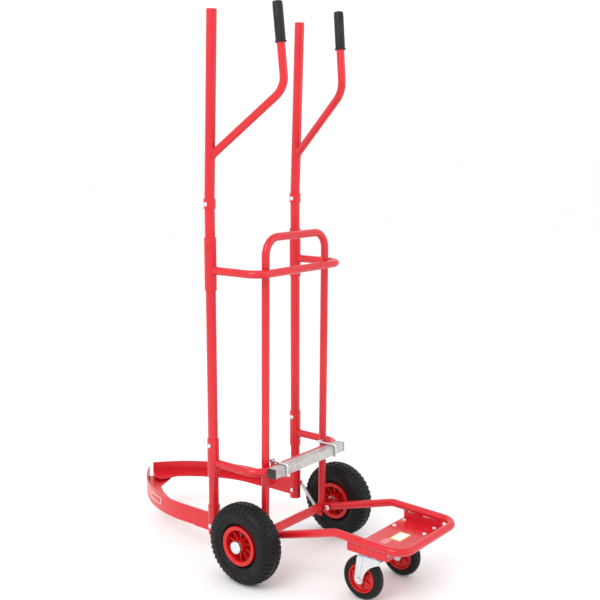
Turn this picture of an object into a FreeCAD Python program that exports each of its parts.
import FreeCAD, Part
import math
import os

import Sketcher

# Hand truck for stacks of tyres. Millimetres, +Z up, load side towards -Y, operator behind at +Y.
# "left" and "right" are the operator's: left is +X. The sub-parts are laid out from the point on
# the floor under the middle of the axle; AXLE_Y then shifts them all, so that the origin is the
# centre of the truck's footprint.

DIMENSIONS = (
    # main wheels and axle
    ("wheel_dia", 260), ("tyre_width", 85), ("track_half", 247), ("rim_dia", 126), ("hub_width", 76),
    ("axle_dia", 20), ("axle_tube_od", 30), ("axle_tube_wall", 3), ("bearing_od", 35),
    ("bearing_width", 11), ("washer_gap", 0.3), ("washer_thick", 2.5), ("washer_dia", 34),
    ("hub_cap_dia", 40),
    # welded main frame
    ("tube_od", 25), ("tube_wall", 2), ("leg_half", 150), ("arch_height", 1079), ("arch_bend", 55),
    ("frame_lean", 0.5), ("bow_bend", 52), ("upper_bow_height", 973), ("lower_bow_height", 349),
    # turning posts and their sleeves
    ("post_od", 32), ("post_wall", 2), ("post_half", 211.5), ("post_wheel_gap", 36),
    ("post_foot", 108), ("post_top", 1192), ("sleeve_wall", 3), ("running_clearance", 0.08),
    ("upper_sleeve_foot", 910), ("upper_sleeve_length", 141), ("lower_sleeve_foot", 303),
    ("lower_sleeve_length", 125), ("stop_ring_height", 24), ("stop_bolt_drop", 20), ("swing_range", 30),
    # upper poles, handles and grips
    ("collar_height", 28), ("collar_overlap", 27), ("pole_top", 1760), ("pole_lean", 2),
    ("handle_joint_height", 1322), ("handle_knee_half", 144), ("handle_knee_back", 80),
    ("handle_knee_height", 1525), ("handle_top_half", 150.5), ("handle_top_back", 58),
    ("handle_top_height", 1768), ("handle_bend", 70), ("grip_wall", 2.5), ("grip_length", 118),
    # claws
    ("socket_height", 99), ("band_inset", 10.5), ("band_thick", 4), ("band_height", 60),
    ("claw_straight", 154), ("claw_radius", 455), ("claw_tip_half", 10), ("shelf_width", 48),
    ("shelf_thick", 4), ("shelf_rise", 20), ("shelf_start", 92), ("tip_lap", 12), ("gusset_top", 40),
    ("gusset_foot", 96), ("lobe_reach", 28), ("lobe_inset", 34), ("lobe_depth", 44),
    # cross bar and its clamps
    ("bar_size", 30), ("bar_wall", 2), ("bar_half", 179), ("cap_thick", 4), ("clamp_half", 127),
    ("clamp_rod", 7), ("clamp_front", 6),
    # springs
    ("spring_od", 10), ("spring_wire", 1.8), ("ear_rise", 58), ("ear_reach", 27), ("tab_half", 143),
    ("tab_drop", 26),
    # folding caster frame
    ("pivot_gap", 5), ("pivot_rise", 5), ("pivot_bolt_dia", 10), ("arm_half", 158),
    ("arm_knee_back", 283), ("deck_rise", 42), ("deck_fall", 8), ("deck_back", 520),
    ("deck_bend", 50), ("channel_thick", 4), ("channel_front", 328), ("channel_length", 142),
    # casters
    ("caster_dia", 137), ("caster_width", 36), ("caster_rim_dia", 90), ("caster_half", 106),
    ("swivel_back", 398), ("caster_trail", 46), ("head_length", 135), ("head_width", 85),
    ("head_thick", 3), ("head_stack", 22), ("head_bolts_long", 110), ("head_bolts_wide", 60),
    ("kingpin_dia", 12), ("fork_side_room", 4), ("fork_thick", 3), ("fork_top_room", 8), ("fork_tip", 18),
    # fasteners
    ("bolt_dia", 8), ("bolt_head_dia", 15), ("bolt_head_height", 5), ("nut_dia", 15), ("nut_height", 6.5),
    ("hole_clearance", 0.2),
)

doc = FreeCAD.newDocument("hand_truck")
sheet = doc.addObject("Spreadsheet::Sheet", "dims")
for row, (alias, number) in enumerate(DIMENSIONS, start=1):
    sheet.set(f"A{row}", alias)
    sheet.set(f"B{row}", str(number))
    sheet.setAlias(f"B{row}", alias)
doc.recompute()


class Size:
    """A length or angle that carries its number and the sheet formula that gives it."""

    def __init__(self, number, formula=None):
        self.number = float(number)
        self.formula = formula or repr(self.number)

    def joined(self, other, sign, number):
        return Size(number, f"({self.formula} {sign} {other.formula})")

    def __add__(self, other):
        other = as_size(other)
        return self.joined(other, "+", self.number + other.number)

    def __sub__(self, other):
        other = as_size(other)
        return self.joined(other, "-", self.number - other.number)

    def __mul__(self, other):
        other = as_size(other)
        return self.joined(other, "*", self.number * other.number)

    def __truediv__(self, other):
        other = as_size(other)
        return self.joined(other, "/", self.number / other.number)

    def __radd__(self, other):
        return as_size(other) + self

    def __rsub__(self, other):
        return as_size(other) - self

    def __rmul__(self, other):
        return as_size(other) * self

    def __neg__(self):
        return Size(-self.number, f"(0 - {self.formula})")


def as_size(value):
    return value if isinstance(value, Size) else Size(value)


def number(value):
    return as_size(value).number


def sine(angle):
    return Size(math.sin(math.radians(angle.number)), f"sin({angle.formula} * 1 deg)")


def cosine(angle):
    return Size(math.cos(math.radians(angle.number)), f"cos({angle.formula} * 1 deg)")


def arc_cosine(value):
    """The angle, in degrees, whose cosine is value."""
    return Size(math.degrees(math.acos(value.number)), f"(acos({value.formula}) / 1 deg)")


class Dims:
    """The sheet's cells as Size values, by their aliases."""


D = Dims()
for alias, _ in DIMENSIONS:
    setattr(D, alias, Size(sheet.get(alias), f"dims.{alias}"))

AXLE_Z = D.wheel_dia / 2
POST_BACK = AXLE_Z + D.post_wheel_gap
POST_Y = -POST_BACK

# what fits round or in a post, a caster wheel or the frame tube follows it
SLEEVE_OD = D.post_od + 2 * D.running_clearance + 2 * D.sleeve_wall
COLLAR_FOOT = D.post_top - D.collar_overlap
GRIP_OD = D.tube_od + 2 * D.grip_wall
PIVOT_BACK = D.tube_od + D.pivot_gap
PIVOT_HEIGHT = AXLE_Z + D.pivot_rise
FORK_GAP = D.caster_width + 2 * D.fork_side_room
FORK_CROWN = D.caster_dia + D.fork_top_room
CHANNEL_HEIGHT = FORK_CROWN + D.head_stack
DECK_HEIGHT = CHANNEL_HEIGHT + D.deck_rise
DECK_REAR_HEIGHT = DECK_HEIGHT - D.deck_fall

# The claws sweep in until their tips are claw_tip_half from the middle.
BAND_HALF = D.post_half - D.band_inset
CLAW_SWEEP = arc_cosine(1 - (BAND_HALF - D.claw_tip_half) / D.claw_radius)
CLAW_FRONT = POST_BACK + D.claw_straight + D.claw_radius * sine(CLAW_SWEEP)

# The claws' tips and the rear of the caster frame set the footprint's middle.
DECK_REAR = D.deck_back + D.tube_od / 2
AXLE_Y = (CLAW_FRONT - DECK_REAR) / 2

ALONG = {
    "X": FreeCAD.Rotation(FreeCAD.Vector(0, 1, 0), 90),
    "Y": FreeCAD.Rotation(FreeCAD.Vector(1, 0, 0), -90),
    "Z": FreeCAD.Rotation(),
}
NODES = []
OFFSET_Y = {}


def bind(obj, path, value):
    obj.setExpression(path, as_size(value).formula)


def move(obj, at, turn=None):
    """Places an object at three sizes, after an optional rotation."""
    if turn is not None:
        obj.Placement.Rotation = turn
    for axis, value in zip("xyz", at):
        bind(obj, f"Placement.Base.{axis}", value)
    OFFSET_Y[obj.Name] = at[1]
    return obj


def node(label, obj):
    """Names a finished sub-part and shifts it from the axle's datum to the truck's origin."""
    obj.Label = label
    bind(obj, "Placement.Base.y", AXLE_Y + OFFSET_Y.get(obj.Name, 0))
    NODES.append(obj)
    return obj


def mirrored(label, source, lift=0):
    """The right-hand twin of a left-hand sub-part, raised by an optional lift."""
    twin = doc.addObject("Part::Mirroring", label)
    twin.Source = source
    twin.Normal = FreeCAD.Vector(1, 0, 0)
    twin.Label = label
    bind(twin, "Placement.Base.z", lift)
    NODES.append(twin)
    return twin


def pair(name, obj, lift=0):
    """Registers left_NAME and its mirror image right_NAME."""
    left = node(f"left_{name}", obj)
    return left, mirrored(f"right_{name}", left, lift)


def cylinder(dia, length, at, along="Z"):
    """A rod from the point `at` for `length` along +X, +Y or +Z."""
    rod = doc.addObject("Part::Cylinder", "rod")
    bind(rod, "Radius", as_size(dia) / 2)
    bind(rod, "Height", length)
    return move(rod, at, ALONG[along])


def sector(dia, height, at, first_angle, angle):
    """A slice of a cylinder about Z, from first_angle (a number) over `angle` degrees."""
    slice_ = cylinder(dia, height, at)
    slice_.Placement.Rotation = FreeCAD.Rotation(FreeCAD.Vector(0, 0, 1), first_angle)
    bind(slice_, "Angle", angle)
    return slice_


def cone(foot_dia, top_dia, height, at, along="Z"):
    taper = doc.addObject("Part::Cone", "taper")
    bind(taper, "Radius1", as_size(foot_dia) / 2)
    bind(taper, "Radius2", as_size(top_dia) / 2)
    bind(taper, "Height", height)
    return move(taper, at, ALONG[along])


def box(low, high):
    """A block between two corners."""
    block = doc.addObject("Part::Box", "block")
    for side, a, b in zip(("Length", "Width", "Height"), low, high):
        bind(block, side, as_size(b) - a)
    return move(block, low)


def cut(base, *tools):
    for tool in tools:
        result = doc.addObject("Part::Cut", "cut")
        result.Base, result.Tool = base, tool
        base = result
    return base


def fuse(*shapes):
    result = doc.addObject("Part::MultiFuse", "fused")
    result.Shapes = list(shapes)
    return result


def group(*shapes):
    """Separate solids that share one node."""
    result = doc.addObject("Part::Compound", "group")
    result.Links = list(shapes)
    return result


def both_sides(build):
    """The same small piece on the left and, mirrored, on the right, as two solids."""
    left = build()
    right = doc.addObject("Part::Mirroring", "twin")
    right.Source = left
    right.Normal = FreeCAD.Vector(1, 0, 0)
    return group(left, right)


def sided(name, build):
    """Registers left_NAME and right_NAME, each built for the x of its own post."""
    for side, x in (("left", D.post_half), ("right", -D.post_half)):
        node(f"{side}_{name}", build(x))


def tube(dia, wall, length, at, along="Z"):
    dia, wall, length = as_size(dia), as_size(wall), as_size(length)
    return cut(cylinder(dia, length, at, along), cylinder(dia - 2 * wall, length, at, along))


# ---- sketches -------------------------------------------------------------------------------


def new_sketch(body, role, name):
    sketch = body.newObject("Sketcher::SketchObject", name)
    plane = next(f for f in body.Origin.OriginFeatures if f.Role == role)
    sketch.AttachmentSupport = [(plane, "")]
    sketch.MapMode = "FlatFace"
    return sketch


def constrain(sketch, name, value, *args):
    """Adds a named dimension whose value follows the sheet."""
    index = sketch.addConstraint(Sketcher.Constraint(*args, number(value)))
    sketch.renameConstraint(index, name)
    bind(sketch, f"Constraints.{name}", value)


def locate(sketch, name, geometry, end, x, y):
    """Dimensions one end point of an edge from the sketch's origin."""
    for axis, kind, value in (("x", "DistanceX", x), ("y", "DistanceY", y)):
        constrain(sketch, f"{name}_{axis}", value, kind, -1, 1, geometry, end)


def arc_between(start, end, radius):
    """An arc from start to end; a positive radius bulges to the right of the way travelled."""
    chord = end - start
    middle = start + chord * 0.5
    left = FreeCAD.Vector(-chord.y, chord.x, 0).normalize()
    depth = math.sqrt(radius**2 - (chord.Length / 2) ** 2)
    side = 1 if radius > 0 else -1
    centre = middle + left * depth * side
    bulge = centre - left * abs(radius) * side
    return Part.Arc(start, bulge, end)


def outline(sketch, corners):
    """A closed outline. Each corner is (x, y) or (x, y, radius of the arc that leaves it)."""
    points = [FreeCAD.Vector(number(c[0]), number(c[1]), 0) for c in corners]
    count = len(corners)
    for i, corner in enumerate(corners):
        start, end = points[i], points[(i + 1) % count]
        curved = len(corner) == 3
        edge = arc_between(start, end, number(corner[2])) if curved else Part.LineSegment(start, end)
        sketch.addGeometry(edge, False)
    ends = []
    for i in range(count):
        # an arc built clockwise is stored the other way round, so its ends are looked up
        first = sketch.getPoint(i, 1)
        ends.append((1, 2) if first.distanceToPoint(points[i]) < 0.01 else (2, 1))
    for i, corner in enumerate(corners):
        following = (i + 1) % count
        sketch.addConstraint(Sketcher.Constraint("Coincident", i, ends[i][1], following, ends[following][0]))
        locate(sketch, f"corner{i}", i, ends[i][0], corner[0], corner[1])
        if len(corner) == 3:
            radius = as_size(corner[2])
            radius = radius if radius.number > 0 else -radius
            constrain(sketch, f"radius{i}", radius, "Radius", i)


def revolved(corners, along, at):
    """A PartDesign body: an outline of (along the axis, out from it) turned round X or Z."""
    body = doc.addObject("PartDesign::Body", "turned")
    profile = new_sketch(body, "XZ_Plane", "profile")
    if along == "Z":
        corners = [(c[1], c[0], *c[2:]) for c in corners]
    outline(profile, corners)
    turn = body.newObject("PartDesign::Revolution", "turn")
    turn.Profile = profile
    turn.ReferenceAxis = (profile, ["H_Axis" if along == "X" else "V_Axis"])
    turn.Angle = 360
    return move(body, at)


def padded(corners, plane, thickness, at):
    """A PartDesign body: an outline padded evenly to both sides of its plane."""
    body = doc.addObject("PartDesign::Body", "plate")
    profile = new_sketch(body, plane, "profile")
    outline(profile, corners)
    pad = body.newObject("PartDesign::Pad", "pad")
    pad.Profile = profile
    pad.Midplane = True
    bind(pad, "Length", thickness)
    return move(body, at)


def u_tube(plane, half, ends, crown, bend):
    """A bent U of frame tube: two legs at +-half from `ends` to a straight crown."""
    body = doc.addObject("PartDesign::Body", "bent_tube")
    path = new_sketch(body, plane, "path")
    x, low, high, r = number(half), number(ends), number(crown), number(bend)
    vector = FreeCAD.Vector
    up = vector(0, 0, 1)
    path.addGeometry(
        [
            Part.LineSegment(vector(-x, low, 0), vector(-x, high - r, 0)),
            Part.ArcOfCircle(Part.Circle(vector(r - x, high - r, 0), up, r), math.pi / 2, math.pi),
            Part.LineSegment(vector(r - x, high, 0), vector(x - r, high, 0)),
            Part.ArcOfCircle(Part.Circle(vector(x - r, high - r, 0), up, r), 0, math.pi / 2),
            Part.LineSegment(vector(x, high - r, 0), vector(x, low, 0)),
        ],
        False,
    )
    rules = (
        ("Tangent", 0, 2, 1, 2), ("Tangent", 1, 1, 2, 1), ("Tangent", 2, 2, 3, 2),
        ("Tangent", 3, 1, 4, 1), ("Vertical", 0), ("Horizontal", 2), ("Vertical", 4), ("Equal", 1, 3),
    )
    path.addConstraint([Sketcher.Constraint(*rule) for rule in rules])
    locate(path, "left_end", 0, 1, -half, ends)
    locate(path, "right_end", 4, 2, half, ends)
    constrain(path, "bend", bend, "Radius", 1)
    constrain(path, "crown", crown, "DistanceY", -1, 1, 2, 1)

    section = new_sketch(body, "XZ_Plane" if plane == "XY_Plane" else "XY_Plane", "section")
    bind(section, "AttachmentOffset.Base.x", -half)
    bind(section, "AttachmentOffset.Base.z", -ends if plane == "XY_Plane" else ends)
    for i, (name, dia) in enumerate((("outer", D.tube_od), ("inner", D.tube_od - 2 * D.tube_wall))):
        section.addGeometry(Part.Circle(vector(), up, dia.number / 2), False)
        section.addConstraint(Sketcher.Constraint("Coincident", i, 3, -1, 1))
        constrain(section, name, dia, "Diameter", i)
    pipe = body.newObject("PartDesign::AdditivePipe", "pipe")
    pipe.Profile = section
    pipe.Spine = (path, [""])
    return body


# ---- fasteners ------------------------------------------------------------------------------


def domed_head(at):
    """A low domed bolt head whose flat face is at `at`, with its crown towards +X."""
    return cone(D.bolt_head_dia, D.bolt_head_dia * 0.55, D.bolt_head_height, at, "X")


def hex_nut(at, along):
    """A plain nut from `at` along +X, +Y or +Z, bored to clear its bolt."""
    nut = doc.addObject("Part::Prism", "nut")
    nut.Polygon = 6
    bind(nut, "Circumradius", D.nut_dia / 2)
    bind(nut, "Height", D.nut_height)
    move(nut, at, ALONG[along])
    return cut(nut, cylinder(D.bolt_dia + 2 * D.hole_clearance, D.nut_height, at, along))


def post_bolt(x, height, dia):
    """A bolt through the post at x, with its head on the truck's left and its nut on the right."""
    head_face, nut_face = x + dia / 2, x - dia / 2 - D.nut_height
    spare_thread, rooted = 1.5, 1
    length = head_face - nut_face + spare_thread + rooted
    shank = cylinder(D.bolt_dia, length, (nut_face - spare_thread, POST_Y, height), "X")
    bolt = fuse(shank, domed_head((head_face, POST_Y, height)))
    return group(bolt, hex_nut((nut_face, POST_Y, height), "X"))


def post_hole(x, height):
    """The hole that the bolt through the post at x passes through."""
    reach = SLEEVE_OD * 2
    return cylinder(D.bolt_dia + 2 * D.hole_clearance, reach, (x - reach / 2, POST_Y, height), "X")


# ---- welded main frame ----------------------------------------------------------------------


def post_core(dia):
    """A solid bar on the left post's axis, for coping what is welded to a sleeve."""
    return cylinder(dia, D.post_top, (D.post_half, POST_Y, 0))


def mirrored_tool(tool):
    twin = doc.addObject("Part::Mirroring", "twin")
    twin.Source = tool
    twin.Normal = FreeCAD.Vector(1, 0, 0)
    return twin


def axle_core(dia):
    length = D.track_half * 2
    return cylinder(dia, length, (-D.track_half, 0, AXLE_Z), "X")


def leg_back(height):
    """How far the leaning legs' axis is behind the axle at a height."""
    return (height - AXLE_Z) * sine(D.frame_lean) / cosine(D.frame_lean)


def lean_back(obj, x):
    """Stands an upright piece, built from the origin, at x and leans it back about the axle."""
    turn = FreeCAD.Rotation(FreeCAD.Vector(1, 0, 0), -D.frame_lean.number)
    return move(obj, (x, -AXLE_Z * sine(D.frame_lean), AXLE_Z - AXLE_Z * cosine(D.frame_lean)), turn)


def build_frame():
    legs = lean_back(u_tube("XZ_Plane", D.leg_half, AXLE_Z, D.arch_height, D.arch_bend), 0)
    node("frame_legs", cut(legs, axle_core(D.axle_tube_od)))

    for label, height in (("upper_bow", D.upper_bow_height), ("lower_bow", D.lower_bow_height)):
        crown = leg_back(height) + D.tube_od + D.hole_clearance
        bow = u_tube("XY_Plane", D.post_half, POST_Y, crown, D.bow_bend)
        bind(bow, "Placement.Base.z", height)
        cope = post_core(SLEEVE_OD)
        node(label, cut(bow, cope, mirrored_tool(cope)))

    pair("upper_sleeve", sleeve(D.post_half, D.upper_sleeve_foot, D.upper_sleeve_length))
    sided("lower_sleeve", lambda x: cut(
        sleeve(x, D.lower_sleeve_foot, D.lower_sleeve_length), stop_bolt_hole(x),
    ))
    node("stop_bolts", group(stop_bolt(D.post_half), stop_bolt(-D.post_half)))


def sleeve(x, foot, length):
    bore = D.post_od + 2 * D.running_clearance
    return tube(SLEEVE_OD, (SLEEVE_OD - bore) / 2, length, (x, POST_Y, foot))


STOP_BOLT_Z = D.lower_sleeve_foot + D.lower_sleeve_length - D.stop_bolt_drop


def stop_bolt_hole(x):
    return cylinder(D.bolt_dia, SLEEVE_OD / 2 + 5, (x, POST_Y, STOP_BOLT_Z), "X")


def stop_bolt(x):
    """A bolt screwed through the lower sleeve; its end stops the post's swing in a slot."""
    inside, face, rooted = x + D.post_od / 2 - 4, x + SLEEVE_OD / 2, 1
    shank = cylinder(D.bolt_dia - 0.2, face + rooted - inside, (inside, POST_Y, STOP_BOLT_Z), "X")
    return fuse(shank, domed_head((face, POST_Y, STOP_BOLT_Z)))


def build_axle():
    half = D.track_half - D.hub_width / 2 - 2 * D.washer_gap - D.washer_thick
    wall = D.axle_tube_wall
    node("axle_tube", tube(D.axle_tube_od, wall, 2 * half, (-half, 0, AXLE_Z), "X"))

    spare_thread = 6
    end = D.track_half + D.hub_width / 2 + D.washer_gap + D.washer_thick + spare_thread
    node("axle", axle_bar(end))
    node("axle_washers", both_sides(lambda: group(*washers(half))))
    node("axle_caps", both_sides(lambda: axle_cap(end)))


def axle_bar(end):
    return cylinder(D.axle_dia, 2 * end, (-end, 0, AXLE_Z), "X")


def washers(inner_face):
    """The two plain washers beside one wheel."""
    outer_face = D.track_half + D.hub_width / 2
    bore = D.axle_dia + 2 * D.hole_clearance
    wall = (D.washer_dia - bore) / 2
    faces = (inner_face + D.washer_gap, outer_face + D.washer_gap)
    return [tube(D.washer_dia, wall, D.washer_thick, (x, 0, AXLE_Z), "X") for x in faces]


def axle_cap(end):
    """A domed push-on cap over the end of the axle."""
    grip, skirt, rise = 2.5, 3, 3.5
    foot = end - grip
    collar = cylinder(D.hub_cap_dia, skirt, (foot, 0, AXLE_Z), "X")
    dome = cone(D.hub_cap_dia, D.hub_cap_dia * 0.45, rise, (foot + skirt, 0, AXLE_Z), "X")
    return cut(fuse(collar, dome), cylinder(D.axle_dia + 0.1, grip, (foot, 0, AXLE_Z), "X"))


BARREL_DIA = D.tube_od + 3


def build_pivots():
    """Two lugs each side behind the axle tube, and the bolts the caster frame folds on."""
    arm, lug = D.tube_od / 2 + 0.4, 4
    tall = 17

    def lugs():
        plates = []
        for x in (D.arm_half - arm - lug, D.arm_half + arm):
            plate = padded(
                [
                    (0, PIVOT_HEIGHT - tall), (PIVOT_BACK, PIVOT_HEIGHT - tall, Size(tall + 3)),
                    (PIVOT_BACK, PIVOT_HEIGHT + tall), (0, PIVOT_HEIGHT + tall),
                ],
                "YZ_Plane", lug, (x + lug / 2, 0, 0),
            )
            plates.append(plate)
        bolt_hole = pivot_rod(D.pivot_bolt_dia + 2 * D.hole_clearance)
        leg = lean_back(cylinder(D.tube_od, D.arch_height / 2, (0, 0, 0)), D.leg_half)
        return group(*(cut(p, axle_core(D.axle_tube_od), leg, bolt_hole) for p in plates))

    node("pivot_lugs", both_sides(lugs))

    def pivot_bolt():
        inner = D.arm_half - arm - lug
        outer = D.arm_half + arm + lug
        shank = cylinder(D.pivot_bolt_dia, outer - inner + 10, pivot_at(inner), "X")
        head = cone(10, 18, 6, pivot_at(inner - 6), "X")
        nut = doc.addObject("Part::Prism", "nut")
        nut.Polygon = 6
        bind(nut, "Circumradius", Size(9.5))
        bind(nut, "Height", Size(8))
        move(nut, pivot_at(outer), ALONG["X"])
        bored = cut(nut, cylinder(D.pivot_bolt_dia + 2 * D.hole_clearance, 8, pivot_at(outer), "X"))
        return group(fuse(shank, head), bored)

    node("pivot_bolts", both_sides(pivot_bolt))


def pivot_at(x):
    return (x, PIVOT_BACK, PIVOT_HEIGHT)


def pivot_rod(dia):
    return cylinder(dia, 60, pivot_at(D.arm_half - 30), "X")


LOWER_BOW_FRONT = leg_back(D.lower_bow_height) + D.tube_od / 2 + D.hole_clearance
BAR_FRONT = LOWER_BOW_FRONT + D.tube_od


def build_cross_bar():
    """A galvanised square bar behind the lower bow, closed by caps and held by two U-bolts."""
    front = BAR_FRONT
    back = front + D.bar_size
    low, high = D.lower_bow_height - D.bar_size / 2, D.lower_bow_height + D.bar_size / 2
    w = D.bar_wall
    shell = box((-D.bar_half, front, low), (D.bar_half, back, high))
    hollow = box((-D.bar_half, front + w, low + w), (D.bar_half, back - w, high - w))
    node("cross_bar", cut(shell, hollow))

    def end_cap():
        face = box((D.bar_half, front, low), (D.bar_half + D.cap_thick, back, high))
        g = w + 0.2
        plug = box((D.bar_half - 12, front + g, low + g), (D.bar_half, back - g, high - g))
        return fuse(face, plug)

    node("bar_end_caps", both_sides(end_cap))
    node("bar_clamps", both_sides(lambda: bar_clamp(back, low, high)))


def bar_clamp(back, low, high):
    """A square U-bolt round bar and bow, with its strap and two nuts in front."""
    rod, x = D.clamp_rod, D.clamp_half
    lower, upper = low - rod / 2, high + rod / 2
    strap_thick, strap_half, strap_margin = 4, 8, 9
    strap_front = LOWER_BOW_FRONT - strap_thick
    nut_front = strap_front - D.nut_height
    front, rear = nut_front - D.clamp_front, back + rod / 2
    arms = [cylinder(rod, rear - front, (x, front, z), "Y") for z in (lower, upper)]
    bridge = cylinder(rod, upper - lower, (x, rear, lower))
    corners = [cylinder(rod, rod, (x - rod / 2, rear, z), "X") for z in (lower, upper)]
    strap = box(
        (x - strap_half, strap_front, lower - strap_margin),
        (x + strap_half, LOWER_BOW_FRONT, upper + strap_margin),
    )
    bores = [cylinder(rod + 0.6, 30, (x, nut_front, z), "Y") for z in (lower, upper)]
    nuts = [hex_nut((x, nut_front, z), "Y") for z in (lower, upper)]
    return group(fuse(*arms, bridge, *corners), cut(strap, *bores), *nuts)


# ---- posts, poles and handles ----------------------------------------------------------------


SOCKET_BOLT_Z = D.post_foot + 30
COLLAR_BOLT_Z = COLLAR_FOOT + D.collar_height / 2


def build_posts():
    sided("post", post)

    ring_foot = D.upper_sleeve_foot + D.upper_sleeve_length + 0.5
    ring_wall = (SLEEVE_OD - D.post_od) / 2 - 0.05
    pair("stop_ring", tube(SLEEVE_OD, ring_wall, D.stop_ring_height, (D.post_half, POST_Y, ring_foot)))

    bolts = (SOCKET_BOLT_Z, COLLAR_BOLT_Z)
    sided("post_bolts", lambda x: group(*(post_bolt(x, z, SLEEVE_OD) for z in bolts)))


def post(x):
    bar = tube(D.post_od, D.post_wall, D.post_top - D.post_foot, (x, POST_Y, D.post_foot))
    return cut(bar, swing_slot(x), post_hole(x, SOCKET_BOLT_Z), post_hole(x, COLLAR_BOLT_Z))


def swing_slot(x):
    """The slot in the post that the stop bolt runs in, as wide as the swing allows."""
    bolt_angle = 2 * math.degrees(math.asin(D.bolt_dia.number / (D.post_od.number - 4))) + 4
    turned = D.swing_range.number if x.number > 0 else 0
    first = -turned - bolt_angle / 2
    height = D.bolt_dia + 1
    at = (x, POST_Y, STOP_BOLT_Z - height / 2)
    return sector(D.post_od + 4, height, at, first, D.swing_range + bolt_angle)


def build_poles():
    """The upper pole leans back from the bolted collar that joins it to the post."""
    foot = COLLAR_FOOT + D.collar_height
    run = (D.pole_top - foot) / cosine(D.pole_lean)
    collar = cylinder(SLEEVE_OD, D.collar_height + 3, (D.post_half, POST_Y, COLLAR_FOOT))
    socket = cylinder(D.post_od + 0.2, D.collar_height, (D.post_half, POST_Y, COLLAR_FOOT))
    overlap = 2
    bore_at = (D.post_half, pole_back(foot - overlap), foot - overlap)
    bore = leaning(D.post_od - 2 * D.post_wall, run + overlap - D.post_wall, bore_at)
    outside = leaning(D.post_od, run, (D.post_half, POST_Y, foot))
    bolt_hole = post_hole(D.post_half, COLLAR_BOLT_Z)
    pair("upper_pole", cut(fuse(outside, collar), socket, bore, bolt_hole))


def leaning(dia, length, at):
    """A bar along the upper pole's axis."""
    return move(cylinder(dia, length, at), at, FreeCAD.Rotation(FreeCAD.Vector(1, 0, 0), -D.pole_lean.number))


def pole_back(height):
    """Where the leaning pole's axis is, front to back, at a height."""
    return POST_Y + (height - COLLAR_FOOT - D.collar_height) * sine(D.pole_lean) / cosine(D.pole_lean)


def rounded_path(points, radius):
    """Straight runs between points, joined by tangent arcs."""
    edges, start = [], points[0]
    for before, corner, after in zip(points, points[1:], points[2:]):
        toward, away = (before - corner).normalize(), (after - corner).normalize()
        half_angle = toward.getAngle(away) / 2
        setback = radius / math.tan(half_angle)
        bisector = (toward + away).normalize()
        centre = corner + bisector * (radius / math.sin(half_angle))
        arc_in, arc_out = corner + toward * setback, corner + away * setback
        edges.append(Part.LineSegment(start, arc_in).toShape())
        edges.append(Part.Arc(arc_in, centre - bisector * radius, arc_out).toShape())
        start = arc_out
    edges.append(Part.LineSegment(start, points[-1]).toShape())
    return Part.Wire(edges)


def swept_bar(path, dia):
    """A round bar along a wire, square to its first run."""
    first = path.Edges[0]
    heading = first.tangentAt(first.FirstParameter)
    circle = Part.Wire(Part.makeCircle(dia / 2, path.Edges[0].Vertexes[0].Point, heading))
    return path.makePipeShell([circle], True, False)


def bent_tube_feature(name, points, radius, dia, wall):
    """A bent tube in space, read from the sheet."""
    path = rounded_path(points, radius)
    feature = doc.addObject("Part::Feature", name)
    feature.Shape = swept_bar(path, dia).cut(swept_bar(path, dia - 2 * wall))
    return feature


def handle_points():
    joint_back = pole_back(D.handle_joint_height)
    return [
        FreeCAD.Vector(D.post_half.number, joint_back.number, D.handle_joint_height.number),
        FreeCAD.Vector(D.handle_knee_half.number, D.handle_knee_back.number, D.handle_knee_height.number),
        FreeCAD.Vector(D.handle_top_half.number, D.handle_top_back.number, D.handle_top_height.number),
    ]


def build_handles():
    """A bent tube from each pole back to the operator, with a rubber grip on its end."""
    points = handle_points()
    bar = bent_tube_feature("handle_bar", points, D.handle_bend.number, D.tube_od.number, D.tube_wall.number)
    foot = COLLAR_FOOT + D.collar_height
    cope = leaning(D.post_od, D.pole_top - foot, (D.post_half, POST_Y, foot))
    pair("handle", cut(bar, cope))

    heading = (points[2] - points[1]).normalize()
    turn = FreeCAD.Rotation(FreeCAD.Vector(0, 0, 1), heading)
    sleeve = cut(
        cylinder(GRIP_OD, D.grip_length, (0, 0, -(D.grip_length - 4))),
        cylinder(D.tube_od + 0.1, D.grip_length - 3.5, (0, 0, -(D.grip_length - 4))),
    )
    collar = tube(GRIP_OD + 6, (GRIP_OD + 6 - D.tube_od - 0.1) / 2, 5, (0, 0, -(D.grip_length - 4)))
    grip = fuse(sleeve, collar)
    pair("grip", move(grip, (D.handle_top_half, D.handle_top_back, D.handle_top_height), turn))


# ---- claws ----------------------------------------------------------------------------------

CLAW_TURN_Y = POST_Y - D.claw_straight
CLAW_CENTRE_X = BAND_HALF - D.claw_radius


def claw_strip(outer, width, foot, height):
    """A strip in plan: straight out from the post, then swept inwards; outer is its face radius."""
    sweep_at = (CLAW_CENTRE_X, CLAW_TURN_Y, foot)
    first = -CLAW_SWEEP.number
    arc = cut(
        sector(2 * outer, height, sweep_at, first, CLAW_SWEEP),
        cylinder(2 * (outer - width), height, sweep_at),
    )
    face = CLAW_CENTRE_X + outer
    run = box((face - width, CLAW_TURN_Y, foot), (face, POST_Y, foot + height))
    return fuse(arc, run)


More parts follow.
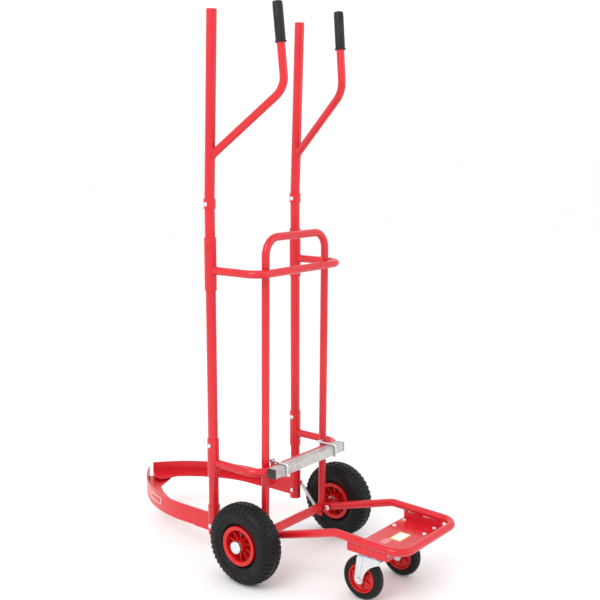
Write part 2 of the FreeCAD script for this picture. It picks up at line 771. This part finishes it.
def build_claws():
    socket_at = (D.post_half, POST_Y, D.post_foot)
    socket_wall = (SLEEVE_OD - D.post_od) / 2 - 0.1
    socket = tube(SLEEVE_OD, socket_wall, D.socket_height, socket_at)
    pair("claw_socket", cut(fuse(socket, spring_ear()), post_hole(D.post_half, SOCKET_BOLT_Z)))

    core = post_core(SLEEVE_OD)
    band = claw_strip(D.claw_radius, D.band_thick, D.post_foot, D.band_height)
    pair("claw_band", cut(band, core), D.tip_lap)

    shelf_foot = D.post_foot + D.shelf_rise
    shelf_outer = D.claw_radius - D.band_thick
    shelf = claw_strip(shelf_outer, D.shelf_width, shelf_foot, D.shelf_thick)
    behind = box((0, POST_Y - D.shelf_start, 0), (D.post_half, 0, shelf_foot + 40))
    pair("claw_shelf", fuse(cut(shelf, behind), tip_lobe(shelf_foot)), D.tip_lap)

    gusset_x = BAND_HALF + D.band_thick / 2
    gusset = padded(
        [
            (POST_Y, D.post_foot), (POST_Y - D.gusset_foot, D.post_foot),
            (POST_Y - D.gusset_top, D.post_foot + D.band_height), (POST_Y, D.post_foot + D.band_height),
        ],
        "YZ_Plane", D.band_thick, (gusset_x, 0, 0),
    )
    pair("claw_gusset", cut(gusset, core), D.tip_lap)


def spring_ear():
    """A small lug behind the claw socket that the spring hooks into."""
    half_thick, half_tall, margin, rooted = 2, 8, 4, 2
    x, middle = D.post_half, D.post_foot + D.ear_rise
    return box(
        (x - half_thick, POST_Y + SLEEVE_OD / 2 - rooted, middle - half_tall),
        (x + half_thick, POST_Y + D.ear_reach + margin, middle + half_tall),
    )


def tip_lobe(foot):
    """The widened tip of a shelf, which reaches across the middle to lap its twin."""
    outer = D.lobe_inset - CLAW_FRONT
    inner = outer + D.lobe_depth
    corners = [
        (-D.lobe_reach, outer), (-D.lobe_reach, inner), (70, inner + 40), (96, inner + 20), (50, outer + 10),
    ]
    return padded(corners, "XY_Plane", D.shelf_thick, (0, 0, foot + D.shelf_thick / 2))


def build_springs():
    """Springs from the claw sockets' ears to tabs under the axle tube."""
    foot = AXLE_Z - D.tab_drop - 5
    tab = padded(
        [(-12, AXLE_Z - 4), (6, AXLE_Z - 4), (6, foot), (-12, foot)],
        "YZ_Plane", 4, (D.tab_half, 0, 0),
    )
    node("spring_tabs", both_sides(lambda: cut(tab, axle_core(D.axle_tube_od))))

    start_at = (D.post_half, POST_Y + D.ear_reach, D.post_foot + D.ear_rise)
    end_at = (D.tab_half, as_size(0), AXLE_Z - D.tab_drop)
    start, end = (FreeCAD.Vector(*(c.number for c in at)) for at in (start_at, end_at))
    reach = end - start
    upper_hook, lower_hook = 6, 18
    coil = tube(D.spring_od, D.spring_wire, reach.Length - upper_hook - lower_hook, (0, 0, upper_hook))
    turn = FreeCAD.Rotation(FreeCAD.Vector(0, 0, 1), reach)
    pair("spring", move(coil, start_at, turn))


# ---- main wheels ----------------------------------------------------------------------------


def crown_radius(half_chord, drop):
    """The radius of an arc that rises by `drop` over its chord."""
    return (half_chord * half_chord + drop * drop) / (2 * drop)


def build_wheels():
    at = (D.track_half, 0, AXLE_Z)
    outer, rim = D.wheel_dia / 2, D.rim_dia / 2
    half = D.tyre_width / 2
    drop, wall = 5, 7
    tread, shoulder, bead = half * 0.62, outer - drop, half * 0.56
    tyre = [
        (-tread, shoulder, -crown_radius(tread, drop)), (tread, shoulder, Size(-34)),
        (half, outer - 32, Size(-48)),
        (bead, rim), (bead - wall, rim), (half - wall, outer - 33, Size(30)),
        (tread - 3, shoulder - wall, Size(110)), (3 - tread, shoulder - wall, Size(30)),
        (wall - half, outer - 33), (wall - bead, rim), (-bead, rim, Size(-48)),
        (-half, outer - 32, Size(-34)),
    ]
    pair("wheel_tyre", revolved(tyre, "X", at))

    barrel, hub = rim - 0.2, D.bearing_od / 2 + 5
    lip, hub_half = half * 0.83, D.hub_width / 2
    bore = D.bearing_od / 2 + 0.05
    rim_profile = [
        (-lip, barrel), (-lip, barrel - 6), (-5, barrel - 9), (-5, hub), (-hub_half, hub),
        (-hub_half, bore), (hub_half, bore), (hub_half, hub), (5, hub), (5, barrel - 9),
        (lip, barrel - 6), (lip, barrel),
    ]
    pair("wheel_rim", revolved(rim_profile, "X", at))

    ring_wall = (D.bearing_od - D.axle_dia) / 2 - 0.05
    faces = (D.track_half - D.hub_width / 2, D.track_half + D.hub_width / 2 - D.bearing_width)
    rings = [tube(D.bearing_od, ring_wall, D.bearing_width, (x, 0, AXLE_Z), "X") for x in faces]
    pair("wheel_bearings", group(*rings))


# ---- folding caster frame ---------------------------------------------------------------------


def build_caster_frame():
    """A tube bent in space: up from each pivot, back along the deck, and across the rear."""
    half, back = D.arm_half.number, D.deck_back.number
    pivot = (half, PIVOT_BACK.number, PIVOT_HEIGHT.number)
    knee = (half, D.arm_knee_back.number, DECK_HEIGHT.number)
    rear = (half, back, DECK_REAR_HEIGHT.number)
    side = [pivot, knee, rear]
    points = [FreeCAD.Vector(*p) for p in side]
    points += [FreeCAD.Vector(-p.x, p.y, p.z) for p in reversed(points)]
    path = rounded_path(points, D.deck_bend.number)
    bar = doc.addObject("Part::Feature", "deck_bar")
    bar.Shape = swept_bar(path, D.tube_od.number)
    hollow = doc.addObject("Part::Feature", "deck_hollow")
    hollow.Shape = swept_bar(path, D.tube_od.number - 2 * D.tube_wall.number)
    hole = pivot_rod(D.pivot_bolt_dia + 2 * D.running_clearance)
    barrel = cut(cylinder(BARREL_DIA, D.tube_od, pivot_at(D.arm_half - D.tube_od / 2), "X"), hole)
    shell = cut(bar, hollow_short(hollow), hole, mirrored_tool(hole))
    node("caster_frame_tube", fuse(shell, barrel, mirrored_tool(barrel)))

    node("caster_channel", cut(caster_channel(), bar))
    node("caster_bolts", both_sides(lambda: group(*head_bolts())))


def hollow_short(hollow):
    """The tube's bore, kept clear of the solid pivot barrels."""
    room = box((-300, PIVOT_BACK - 30, 0), (300, PIVOT_BACK + 14, 400))
    return cut(hollow, room)


def head_bolt_places():
    for across in (-1, 1):
        for along in (-1, 1):
            yield (
                D.caster_half + across * D.head_bolts_wide / 2,
                D.swivel_back + along * D.head_bolts_long / 2,
            )


def deck_underside(back):
    """The height of the deck tubes' underside at a distance behind the axle."""
    fall = (DECK_HEIGHT - DECK_REAR_HEIGHT) / (D.deck_back - D.arm_knee_back)
    return DECK_HEIGHT - (back - D.arm_knee_back) * fall - D.tube_od / 2


def caster_channel():
    """A plate with upstands under the deck tubes; thin slots below the tubes leave weld tabs."""
    t = D.channel_thick
    half = D.arm_half + t / 2
    low, back = CHANNEL_HEIGHT, D.channel_front + D.channel_length
    top = deck_underside(D.channel_front) + 3
    plate = box((-half, D.channel_front, low), (half, back, low + t))
    sides = [box((x, D.channel_front, low), (x + t, back, top)) for x in (-half, half - t)]
    slots = []
    slot_depth = 2.5
    for start, length in ((14, 32), (70, 52)):
        y = D.channel_front + start
        foot = deck_underside(y + length / 2) - slot_depth
        slots.append(box((-half - 1, y, foot), (half + 1, y + length, top + 1)))
    holes = []
    for x, y in head_bolt_places():
        hole = cylinder(D.bolt_dia + 2 * D.hole_clearance, 20, (x, y, low - 5))
        holes += [hole, mirrored_tool(hole)]
    return cut(fuse(plate, *sides), *slots, *holes)


def head_bolts():
    """Four bolts down through the channel and one caster's top plate, with nuts below."""
    top = CHANNEL_HEIGHT + D.channel_thick
    below = CHANNEL_HEIGHT - D.head_thick
    solids = []
    for x, y in head_bolt_places():
        shank = cylinder(D.bolt_dia, top - below + D.nut_height + 1, (x, y, below - D.nut_height))
        head = cone(D.bolt_head_dia, D.bolt_head_dia * 0.55, D.bolt_head_height, (x, y, top))
        solids += [fuse(shank, head), hex_nut((x, y, below - D.nut_height), "Z")]
    return solids


# ---- casters ----------------------------------------------------------------------------------


def build_casters():
    x, swivel, low = D.caster_half, D.swivel_back, CHANNEL_HEIGHT - D.head_thick
    plate = box(
        (x - D.head_width / 2, swivel - D.head_length / 2, low),
        (x + D.head_width / 2, swivel + D.head_length / 2, CHANNEL_HEIGHT),
    )
    bore = D.bolt_dia + 2 * D.hole_clearance
    holes = [cylinder(bore, 20, (*place, low - 5)) for place in head_bolt_places()]
    race_foot = FORK_CROWN + D.fork_thick + 4.4
    race = cylinder(50, low - race_foot, (x, swivel, race_foot))
    kingpin = cylinder(D.kingpin_dia, low - FORK_CROWN + 5, (x, swivel, FORK_CROWN - 5))
    button = cylinder(18, 4, (x, swivel, FORK_CROWN - 5))
    pair("caster_head", fuse(cut(plate, *holes), race, kingpin, button))

    pair("caster_fork", caster_fork())

    wheel_y, wheel_z = swivel - D.caster_trail, D.caster_dia / 2
    outer = FORK_GAP / 2 + D.fork_thick
    shank = cylinder(D.bolt_dia, 2 * outer + D.nut_height + 1.5, (x - outer, wheel_y, wheel_z), "X")
    head_at = (x - outer - D.bolt_head_height, wheel_y, wheel_z)
    head = cone(D.bolt_head_dia * 0.55, D.bolt_head_dia, D.bolt_head_height, head_at, "X")
    nut = hex_nut((x + outer, wheel_y, wheel_z), "X")
    pair("caster_axle", group(fuse(shank, head), nut))

    at = (x, wheel_y, wheel_z)
    half, rim = D.caster_width / 2, D.caster_rim_dia / 2
    top, drop, flat = D.caster_dia / 2, 1.5, half - 9
    tread = [
        (-half, rim), (half, rim), (half, top - 10, Size(13)), (flat, top - drop, crown_radius(flat, drop)),
        (-flat, top - drop, Size(13)), (-half, top - 10),
    ]
    pair("caster_tyre", revolved(tread, "X", at))
    face, bore = FORK_GAP / 2 - 0.8, D.bolt_dia / 2 + D.running_clearance
    web = half - 8
    rim_profile = [
        (-half + 1, rim - 0.05), (-half + 1, rim - 5), (-web, rim - 8), (-web, 14), (-face, 14),
        (-face, bore),
        (face, bore), (face, 14), (web, 14), (web, rim - 8), (half - 1, rim - 5), (half - 1, rim - 0.05),
    ]
    pair("caster_rim", revolved(rim_profile, "X", at))


def caster_fork():
    """A folded yoke: a crown that turns on the kingpin and two legs down to the axle."""
    x, swivel, crown = D.caster_half, D.swivel_back, FORK_CROWN + D.fork_thick
    wheel_y, wheel_z = swivel - D.caster_trail, D.caster_dia / 2
    tip = D.fork_tip
    width = FORK_GAP + 2 * D.fork_thick
    yoke = padded(
        [
            (wheel_y - tip, wheel_z, tip + 1), (wheel_y + tip, wheel_z), (swivel + 26, crown - 14),
            (swivel + 26, crown), (swivel - 52, crown), (swivel - 57, crown - 14),
        ],
        "YZ_Plane", width, (x, 0, 0),
    )
    inside = box((x - FORK_GAP / 2, 0, 0), (x + FORK_GAP / 2, 2 * swivel, FORK_CROWN))
    dish = cylinder(46, 4, (x, swivel, crown))
    bolt_room = [
        box((x - 40, swivel - 80, crown - 3.2), (x + 40, swivel - 48, crown + 1)),
    ]
    bore = cylinder(D.kingpin_dia + 2 * D.running_clearance, 40, (x, swivel, FORK_CROWN - 10))
    axle_hole = cylinder(D.bolt_dia + 2 * D.hole_clearance, 80, (x - 40, wheel_y, wheel_z), "X")
    return cut(fuse(cut(yoke, inside, *bolt_room), dish), bore, axle_hole)


# ---- build, check and write -------------------------------------------------------------------

build_frame()
build_axle()
build_pivots()
build_cross_bar()
build_posts()
build_poles()
build_handles()
build_claws()
build_springs()
build_wheels()
build_caster_frame()
build_casters()
doc.recompute()

for obj in doc.Objects:
    if {"Invalid", "Error"} & set(obj.State):
        raise SystemExit(f"{obj.Label} failed: {obj.State}")
for obj in NODES:
    if obj.Shape.isNull() or not obj.Shape.isValid() or not obj.Shape.Solids:
        raise SystemExit(f"{obj.Label} has no valid solid")

os.makedirs("parts", exist_ok=True)
for obj in NODES:
    obj.Shape.exportStep(f"parts/{obj.Label}.step")
print(len(NODES), "sub-parts")
